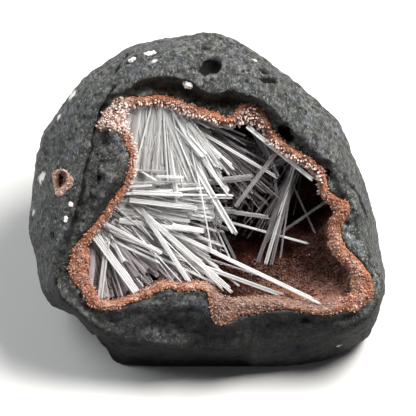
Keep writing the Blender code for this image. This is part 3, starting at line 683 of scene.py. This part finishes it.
def mark_skin(mesh, face, normals, broken, stain, ledge, dents):
    """The marks on the stone's skin that its finish goes by."""
    # Painted shade on the faces that turn forward and down.
    store(mesh, "front", eased(-normals[:, 1] - 0.6 * normals[:, 2], 0.1, 0.6))
    # Painted shade under the ledge, where the stone is also cut back.
    store(mesh, "under", ledge)
    store(mesh, "stain", stain)
    # The top scoop, lightened there with painted light and tinted brown.
    scoop = eased(face[:, 1], 31, 34) * eased(face[:, 0], -29, -24) * (1 - eased(face[:, 0], 8, 14))
    store(mesh, "scoop", scoop * smoothed_values(mesh, broken.astype(float), 2))
    # The broken band at the right, lightened with painted light.
    right = eased(face[:, 0], 12, 20) * eased(face[:, 1], -36, -28)
    store(mesh, "pale_break", right * smoothed_values(mesh, broken.astype(float), 4))
    # Painted shade in the pits, crevices and gas holes.
    store(mesh, "pit", np.maximum(eased(dents, 0.12, 0.4), in_gas_holes(face, 1.3)))
    store(mesh, "blue_spot", spots(face, BLUE_SPOTS))
    store(mesh, "white_spot", spots(face, WHITE_SPOTS))


def grow_corner(rock, stain, grow):
    """The druse's crystals where its corner lies over the stone."""
    ground = copied(rock)
    mesh = ground.data
    store(mesh, "shown", eased(stain, 0.3, 0.6))
    store(mesh, "pale", np.full(len(stain), 0.8))
    for name in ("rust", "dusky", "deep"):
        store(mesh, name, np.zeros(len(stain)))
    crystals = grown_crystals(
        ground, grow, "corner_crystals", druse_finish("corner_crystal_finish"), STUB,
        density=3500000.0, smallest=0.0004, largest=0.001, lean=0.5, seed=11,
    )
    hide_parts("druse_lining")
    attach(crystals, "root")


def smoothed_values(mesh, values, rounds):
    """Numbers on the points, each evened out with its neighbours."""
    column = np.repeat(values[:, None], 3, axis=1)
    return smoothed(mesh, column, np.full(len(values), 0.5), rounds)[:, 0]


def spots(face, rows):
    """1 inside each ragged spot of the skin that shows from the front, and 0 outside."""
    value = np.zeros(len(face))
    ragged = wander(face, 1.3)
    for u, v, radius in rows:
        off = np.hypot(face[:, 0] - u, face[:, 1] - v)
        level = face[np.argsort(off)[:16], 2].max()
        away = np.hypot(off, face[:, 2] - level) + 0.7 * radius * ragged
        value = np.maximum(value, 1 - eased(away, radius * 0.8, radius * 1.1))
    return value


def crystal_form(name, sides, shoulder, width):
    """A small upright crystal: a tapered prism with a pointed cap, 1 tall, with its height kept as tip."""
    bm = bmesh.new()
    rows = []
    turns = [2 * math.pi * k / sides for k in range(sides)]
    for height, spread in ((-0.15, 1.0), (shoulder, 0.92)):
        reach = width * spread
        rows.append([bm.verts.new((reach * math.cos(a), reach * math.sin(a), height)) for a in turns])
    peak = bm.verts.new((width * 0.15, 0, 1))
    bm.faces.new(rows[0][::-1])
    for k in range(sides):
        n = (k + 1) % sides
        bm.faces.new((rows[0][k], rows[0][n], rows[1][n], rows[1][k]))
        bm.faces.new((rows[1][k], rows[1][n], peak))
    form = new_object(name, bm)
    store(form.data, "tip", [max(0, v.co.z) for v in form.data.vertices])
    return form


def add_inputs(tree, kinds):
    """Named inputs on a Geometry Nodes tree, as (name, socket type), and its one output."""
    for name, kind in kinds:
        tree.interface.new_socket(name, in_out="INPUT", socket_type=kind)
    tree.interface.new_socket("Geometry", in_out="OUTPUT", socket_type="NodeSocketGeometry")


def named_value(tree, name, kind):
    return put(tree, "GeometryNodeInputNamedAttribute", {"Name": name}, data_type=kind).outputs["Attribute"]


def realised(tree, instances, coat):
    """The end of a tree: instances made real and given their finish."""
    real = put(tree, "GeometryNodeRealizeInstances", {"Geometry": instances})
    coated = put(tree, "GeometryNodeSetMaterial", {"Geometry": real.outputs["Geometry"], "Material": coat})
    put(tree, "NodeGroupOutput", {"Geometry": coated.outputs["Geometry"]})


def needle_tree():
    """Stands a needle on each point, along its aim, at its size and turn."""
    tree = bpy.data.node_groups.new("stand_needles", "GeometryNodeTree")
    add_inputs(tree, (
        ("Geometry", "NodeSocketGeometry"), ("Form", "NodeSocketObject"), ("Coat", "NodeSocketMaterial"),
    ))
    given = put(tree, "NodeGroupInput").outputs
    form = put(tree, "GeometryNodeObjectInfo", {"Object": given["Form"]}).outputs["Geometry"]
    aim = named_value(tree, "aim", "FLOAT_VECTOR")
    along = put(tree, "FunctionNodeAlignRotationToVector", {"Vector": aim}, axis="Z")
    spin = put(tree, "FunctionNodeAxisAngleToRotation", {
        "Axis": (0, 0, 1), "Angle": named_value(tree, "turn", "FLOAT"),
    })
    turned = put(tree, "FunctionNodeRotateRotation", {
        "Rotation": along.outputs["Rotation"], "Rotate By": spin.outputs["Rotation"],
    }, rotation_space="LOCAL")
    stood = put(tree, "GeometryNodeInstanceOnPoints", {
        "Points": given["Geometry"], "Instance": form, "Rotation": turned.outputs["Rotation"],
        "Scale": named_value(tree, "size", "FLOAT_VECTOR"),
    })
    realised(tree, stood.outputs["Instances"], given["Coat"])
    return tree


def scatter_tree():
    """Grows crystals over a surface where it is marked shown, at random sizes and leans."""
    tree = bpy.data.node_groups.new("grow_druse", "GeometryNodeTree")
    add_inputs(tree, (
        ("Geometry", "NodeSocketGeometry"), ("Form", "NodeSocketObject"), ("Coat", "NodeSocketMaterial"),
        ("Density", "NodeSocketFloat"), ("Smallest", "NodeSocketFloat"), ("Largest", "NodeSocketFloat"),
        ("Lean", "NodeSocketFloat"), ("Seed", "NodeSocketInt"),
    ))
    given = put(tree, "NodeGroupInput").outputs
    shown = named_value(tree, "shown", "FLOAT")
    density = put(tree, "ShaderNodeMath", {0: given["Density"], 1: shown}, operation="MULTIPLY")
    spread = put(tree, "GeometryNodeDistributePointsOnFaces", {
        "Mesh": given["Geometry"], "Density": density.outputs["Value"], "Seed": given["Seed"],
    }, distribute_method="RANDOM")
    back = put(tree, "ShaderNodeMath", {0: given["Lean"], 1: -1.0}, operation="MULTIPLY").outputs["Value"]
    low = put(tree, "ShaderNodeCombineXYZ", {"X": back, "Y": back, "Z": 0.0})
    high = put(tree, "ShaderNodeCombineXYZ", {"X": given["Lean"], "Y": given["Lean"], "Z": FULL_TURN})
    angles = put(tree, "FunctionNodeRandomValue", {
        0: low.outputs["Vector"], 1: high.outputs["Vector"], "Seed": given["Seed"],
    }, data_type="FLOAT_VECTOR")
    turned = put(tree, "FunctionNodeRotateRotation", {
        "Rotation": spread.outputs["Rotation"], "Rotate By": angles.outputs[0],
    }, rotation_space="LOCAL")
    size = put(tree, "FunctionNodeRandomValue", {
        2: given["Smallest"], 3: given["Largest"], "Seed": given["Seed"],
    }, data_type="FLOAT")
    form = put(tree, "GeometryNodeObjectInfo", {"Object": given["Form"]}).outputs["Geometry"]
    grown = put(tree, "GeometryNodeInstanceOnPoints", {
        "Points": spread.outputs["Points"], "Instance": form,
        "Rotation": turned.outputs["Rotation"], "Scale": size.outputs[1],
    })
    realised(tree, grown.outputs["Instances"], given["Coat"])
    return tree


def run_tree(obj, tree, name, **values):
    """The object through a Geometry Nodes tree with these input values, as a plain mesh called name."""
    modifier = obj.modifiers.new("grow", "NODES")
    modifier.node_group = tree
    sockets = {item.name: item.identifier for item in tree.interface.items_tree if item.in_out == "INPUT"}
    for key, value in values.items():
        modifier[sockets[key]] = value
    return evaluated_copy(obj, name)


def grown_crystals(ground, grow, name, coat, shape, density, smallest, largest, lean, seed):
    """Crystals of this shape over the ground where it is marked shown, as a piece. The ground object goes."""
    form = crystal_form(name + "_form", *shape)
    crystals = run_tree(
        ground, grow, name, Form=form, Coat=coat,
        Density=density, Smallest=smallest, Largest=largest, Lean=lean, Seed=seed,
    )
    bpy.data.objects.remove(form)
    return crystals


def needle_form():
    """A needle 1 wide, 1 thick and 1 long, with a blunt chisel tip."""
    bm = bmesh.new()
    corners = (
        (0.5, 0.32), (0.32, 0.5), (-0.32, 0.5), (-0.5, 0.32),
        (-0.5, -0.32), (-0.32, -0.5), (0.32, -0.5), (0.5, -0.32),
    )
    rows = []
    for height, spread in ((0, 1.0), (0.985, 0.86)):
        rows.append([bm.verts.new((x * spread, y * spread, height)) for x, y in corners])
    peaks = [bm.verts.new((x, 0, 1)) for x in (0.22, -0.22)]
    base, shoulder = rows
    bm.faces.new(base[::-1])
    sides = len(corners)
    for k in range(sides):
        n = (k + 1) % sides
        bm.faces.new((base[k], base[n], shoulder[n], shoulder[k]))
    right, left = peaks
    caps = ((right,), (left, right), (left,), (left,), (left,), (right, left), (right,), (right,))
    for k, cap in enumerate(caps):
        bm.faces.new((shoulder[k], shoulder[(k + 1) % sides], *cap))
    return new_object("needle_form", bm)


def long_needles():
    """The needles that show one by one, as (root, tip, width, clear)."""
    rows = []
    for index, (u, v, w, width, clear) in enumerate(CROWN_TIPS):
        # The crown's needles start in five places side by side, and in three layers.
        aside = (index % 5 - 2) * 0.7
        rows.append(((CROWN[0] + aside, CROWN[1], CROWN[2] - index % 3), (u, v, w), width, clear))
    for row in (*WALL_NEEDLES, *CORNER_NEEDLES, *RIM_NEEDLES, *BARS):
        rows.append((row[0:3], row[3:6], row[6], row[7]))
    return rows


def split_in_laths(rng, root, tip, width, clear):
    """A broad needle as the parallel laths that it is grown from, each with a tone."""
    root, tip = np.array(root, float), np.array(tip, float)
    along = (tip - root) / np.linalg.norm(tip - root)
    across = np.cross(along, (0, 0, 1.0))
    across /= np.linalg.norm(across)
    deep = np.cross(across, along)
    count = max(1, round(width / LATH_WIDTH))
    laths = []
    for k in range(count):
        place = ((k + 0.5) / count - 0.5) * width
        shift = across * place + deep * rng.uniform(-LATH_STAGGER, LATH_STAGGER) * width
        short = 0 if k == count // 2 else rng.uniform(0, LATH_SHORTER) * np.linalg.norm(tip - root)
        lath = width / count * rng.uniform(0.9, 1.3)
        laths.append((root + shift, tip + shift - along * short, lath, clear, tone_of(rng, root, clear)))
    return laths


def tone_of(rng, root, clear):
    """A lath's tone: milky ones bright, clear ones duller, and all dimmer with painted shade on the right and
    in the corner.
    """
    shade_dim = 0.14 * eased(root[0], 5, 25) + 0.2 * eased(-root[1], 5.5, 8)
    return rng.uniform(0.45, 0.7) - shade_dim if clear else rng.uniform(0.82, 1.0) - shade_dim * 0.5


def fan_needles(rng, fan):
    """The needles of one fan, as (root, tip, width, clear, tone)."""
    root, scatter, heading, spread, rise, rise_spread = fan[:6]
    shortest, longest, thin, thick, count, clear, dull, bright = fan[6:]
    made = []
    for _ in range(count):
        start = np.array(root) + rng.normal(0, 0.5, 3) * scatter
        angle = math.radians(heading + rng.normal(0, spread * 0.6))
        aim = np.array((math.cos(angle), math.sin(angle), rise + rng.normal(0, rise_spread)))
        length = rng.uniform(shortest, longest)
        width = thin + (thick - thin) * rng.random() ** 2
        tone = rng.uniform(dull, bright)
        made.append((start, start + aim / np.linalg.norm(aim) * length, width, rng.random() < clear, tone))
    return made


def kept_in_hollow(surfaces, root, tip):
    """The tip drawn back to where the needle would meet the hollow's wall, or None if it hardly starts."""
    start, end = Vector(to_world(root)), Vector(to_world(tip))
    aim = (end - start).normalized()
    ahead = NEEDLE_START * MM
    reach = (end - start).length
    for surface in surfaces:
        _, _, _, hit = surface.ray_cast(start + aim * ahead, aim, reach)
        if hit is not None:
            reach = min(reach, ahead + hit - WALL_GAP * MM)
    if reach < SHORTEST_NEEDLE * MM:
        return None
    return start, aim, reach


def flat_turn(aim):
    """How far a needle is turned about its length so that its broad side faces out of the opening."""
    stood = Vector((0, 0, 1)).rotation_difference(aim)
    wanted = aim.cross(Vector(FACE_AXES[2])).normalized()
    side, front = stood @ Vector((1, 0, 0)), stood @ Vector((0, 1, 0))
    return math.atan2(wanted.dot(front), wanted.dot(side))


def build_needles(surfaces):
    """Every needle, milky ones in one piece and clear ones in another."""
    rng = np.random.default_rng(NEEDLE_SEED)
    rows = []
    for needle in long_needles():
        rows.extend(split_in_laths(rng, *needle))
    for fan in FANS:
        rows.extend(fan_needles(rng, fan))
    sorts = {"milky_needles": [], "clear_needles": []}
    for root, tip, width, clear, tone in rows:
        kept = kept_in_hollow(surfaces, root, tip)
        if kept:
            sorts["clear_needles" if clear else "milky_needles"].append((*kept, width * MM, tone))
    coats = {
        "milky_needles": needle_finish("milky_needle", clearness=0.2, roughness=0.3),
        "clear_needles": needle_finish("clear_needle", clearness=0.72, roughness=0.2),
    }
    form = needle_form()
    tree = needle_tree()
    for name, stands in sorts.items():
        piece = run_tree(needle_points(rng, name, stands), tree, name, Form=form, Coat=coats[name])
        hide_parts("scolecite_needles")
        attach(piece, "root")
    bpy.data.objects.remove(form)


def needle_points(rng, name, stands):
    """A point at each needle's root that holds its aim, size, turn and tone."""
    roots, aims, lengths, widths, tones = zip(*stands)
    mesh = bpy.data.meshes.new(name)
    mesh.from_pydata(list(roots), [], [])
    flatness = rng.uniform(0.6, 1.0, len(stands))
    thicknesses = [min(width, THICKEST * MM) * share for width, share in zip(widths, flatness)]
    store_vectors(mesh, "aim", aims)
    store_vectors(mesh, "size", list(zip(widths, thicknesses, lengths)))
    twists = rng.uniform(-NEEDLE_TWIST, NEEDLE_TWIST, len(stands))
    store(mesh, "turn", [flat_turn(aim) + twist for aim, twist in zip(aims, twists)])
    store(mesh, "tone", tones)
    return placed(name, mesh)


def build_crust(rock_surface):
    """The lumpy crust over the CAD lining, with its points' places, facings and distances from the stone."""
    crust = remeshed(merged_copy("druse_lining", "druse_crust"), LINING_VOXEL)
    mesh = crust.data
    points = points_of(mesh)
    away = distances(rock_surface, points)
    points = smoothed(mesh, points, np.full(len(points), 0.4), 4)
    set_points(mesh, points)
    normals = normals_of(mesh)
    facing = normals @ FACE_AXES[2]
    face = to_face(points)
    front = (facing > 0.25) & (face[:, 2] > 10)
    shown = np.maximum(eased(away, 0.9, 1.8), front.astype(float))
    lump = 0.42 * rolling(points, 3.2, 3, 3.3) + 0.3 * rolling(points, 1.5, 3, 1.7)
    touching = (1 - eased(away, 0.45, 0.8)) * eased(face[:, 2], 6, 10) * 0.45
    points = points + normals * ((lump * (0.1 + 0.9 * shown) + touching) * MM)[:, None]
    set_points(mesh, points)
    store(mesh, "shown", shown)
    store(mesh, "rust", (1 - eased(away, 0.35, 1.15)) * 0.7)
    store(mesh, "pale", corner_paleness(face))
    store(mesh, "dusky", dusky_band(face))
    store(mesh, "deep", deep_in_hollow(face))
    mesh.shade_smooth()
    mesh.materials.append(druse_finish("druse_crust_finish"))
    return crust, face, facing, away


def build_lining(rock_surface, grow):
    """The druse: the crust, small crystals where it shows, and teeth along its top rim."""
    crust, face, facing, away = build_crust(rock_surface)
    crystals = grown_crystals(
        copied(crust), grow, "druse_crystals", druse_finish("druse_crystal_finish"), STUB,
        density=1150000.0, smallest=0.00025, largest=0.00085, lean=0.7, seed=7,
    )
    top = top_rim(face, facing, away)
    teeth_ground = copied(crust)
    store(teeth_ground.data, "shown", top)
    teeth = grown_crystals(
        teeth_ground, grow, "druse_teeth", druse_finish("druse_tooth_finish", whiteness=0.8), TOOTH,
        density=1500000.0, smallest=0.0007, largest=0.0018, lean=0.35, seed=5,
    )
    # Painted shade between the teeth along the top rim, lighter where the crust faces out of the opening.
    shade_between_teeth = top * (0.8 - 0.35 * eased(facing, 0.4, 0.7)) * (1 - corner_paleness(face))
    store(crust.data, "deep", np.maximum(deep_in_hollow(face), shade_between_teeth))
    for piece in (crust, crystals, teeth):
        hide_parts("druse_lining")
        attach(piece, "root")


def deep_in_hollow(face):
    """0 at the rim, rising to 1 deep in the hollow, where the druse is dark brown and darkened with painted
    shade.
    """
    return 1 - eased(face[:, 2], 3, 13)


def top_rim(face, facing, away):
    """1 on the inner half of the rim's top and right, where the teeth stand, and 0 elsewhere."""
    return (
        eased(face[:, 1], 4, 10) * eased(face[:, 2], 8.5, 10.5)
        * eased(facing, -0.75, -0.35) * eased(away, 0.9, 1.6)
    )


def copied(obj):
    """A second object with its own copy of the mesh."""
    return placed(obj.name + "_twin", obj.data.copy())


def corner_paleness(face):
    """The pale pink corner of the druse at its upper left."""
    away = np.hypot(face[:, 0] + 31, face[:, 1] - 31)
    return 1 - eased(away, 4, 9)


def dusky_band(face):
    """The greyer pink band of the druse along the bottom of the opening."""
    across = eased(face[:, 0], -4, 3) * (1 - eased(face[:, 0], 40, 47))
    return across * (1 - eased(face[:, 1], -26, -21)) * eased(face[:, 2], 8, 11) * 0.8


def jagged(points, normals, size, height):
    """Points pushed in and out along their normals by this many millimetres, in lumps and finer grains."""
    lump = rolling(points, size, 3, 4.4) + 0.5 * rolling(points, size / 2.5, 3, 8.1)
    return points + normals * (height * lump * MM)[:, None]


def build_fillings():
    """The white fillings of the gas holes, flat and jagged."""
    coat = white_filling()
    for node in list(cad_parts):
        if not node.startswith("amygdale"):
            continue
        piece = remeshed(merged_copy(node, node + "_grown"), FILLING_VOXEL)
        mesh = piece.data
        points = points_of(mesh)
        set_points(mesh, jagged(points, normals_of(mesh), 1.8, 0.45))
        mesh.materials.append(coat)
        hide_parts(node)
        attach(piece, "root")


def build_vug(rock_surface, grow):
    """The small vug's pink lining: a ragged ring of druse round a hollow that is dark brown and darkened with
    painted shade, with a tail below it.
    """
    ring = remeshed(merged_copy("vug_lining", "vug_ring"), VUG_VOXEL)
    mesh = ring.data
    points = points_of(mesh)
    normals = normals_of(mesh)
    middle = (points.max(axis=0) + points.min(axis=0)) / 2
    inward = ((middle - points) * normals).sum(axis=1) / np.linalg.norm(points - middle, axis=1)
    deep = eased(inward, -0.1, 0.35)
    points = jagged(points, normals, 1.9, 0.5)
    face = to_face(points)
    off = face - to_face(middle[None])[0]
    # The ring widens along the stone's skin, more to the sides than up, and its tail hangs to the lower left.
    tail = eased(-off[:, 1], 1.5, 4.0)
    skin = FACE_AXES @ np.array(rock_surface.find_nearest(Vector(middle * VUG_LOOKOUT))[1])
    grow_u = (1 - deep) * (off[:, 0] * 0.75 * (1 - 0.6 * tail) - 0.9 * tail)
    grow_v = (1 - deep) * (off[:, 1] * 0.22 - 1.6 * tail)
    grow_w = -(grow_u * skin[0] + grow_v * skin[1]) / skin[2]
    face = face + np.stack((grow_u, grow_v, grow_w), axis=1)
    set_points(mesh, to_world(face))
    # The deep mark, on the ring's inner faces and over the hollow in its middle, is dark brown and painted
    # shade.
    hollow = np.hypot((off[:, 0] + grow_u + 0.5) / 1.9, (off[:, 1] + grow_v - 0.9) / 2.5)
    deep = np.maximum(deep, 1 - eased(hollow, 0.85, 1.1))
    for name, value in (("deep", deep), ("shown", 1 - deep), ("pale", 0.35 * (1 - deep))):
        store(mesh, name, value)
    for name in ("rust", "tip", "dusky"):
        store(mesh, name, np.zeros(len(points)))
    mesh.materials.append(druse_finish("vug_finish"))
    crystals = grown_crystals(
        copied(ring), grow, "vug_crystals", druse_finish("vug_crystal_finish"), STUB,
        density=2000000.0, smallest=0.0002, largest=0.0006, lean=0.55, seed=3,
    )
    for piece in (ring, crystals):
        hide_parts("vug_lining")
        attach(piece, "root")


def main():
    add_camera()
    add_studio()
    rock_surface = tree_of("basalt_nodule")
    lining = tree_of("druse_lining")
    grow = scatter_tree()
    build_rock(lining, grow)
    build_lining(rock_surface, grow)
    build_needles((lining, rock_surface))
    build_fillings()
    build_vug(rock_surface, grow)


main()
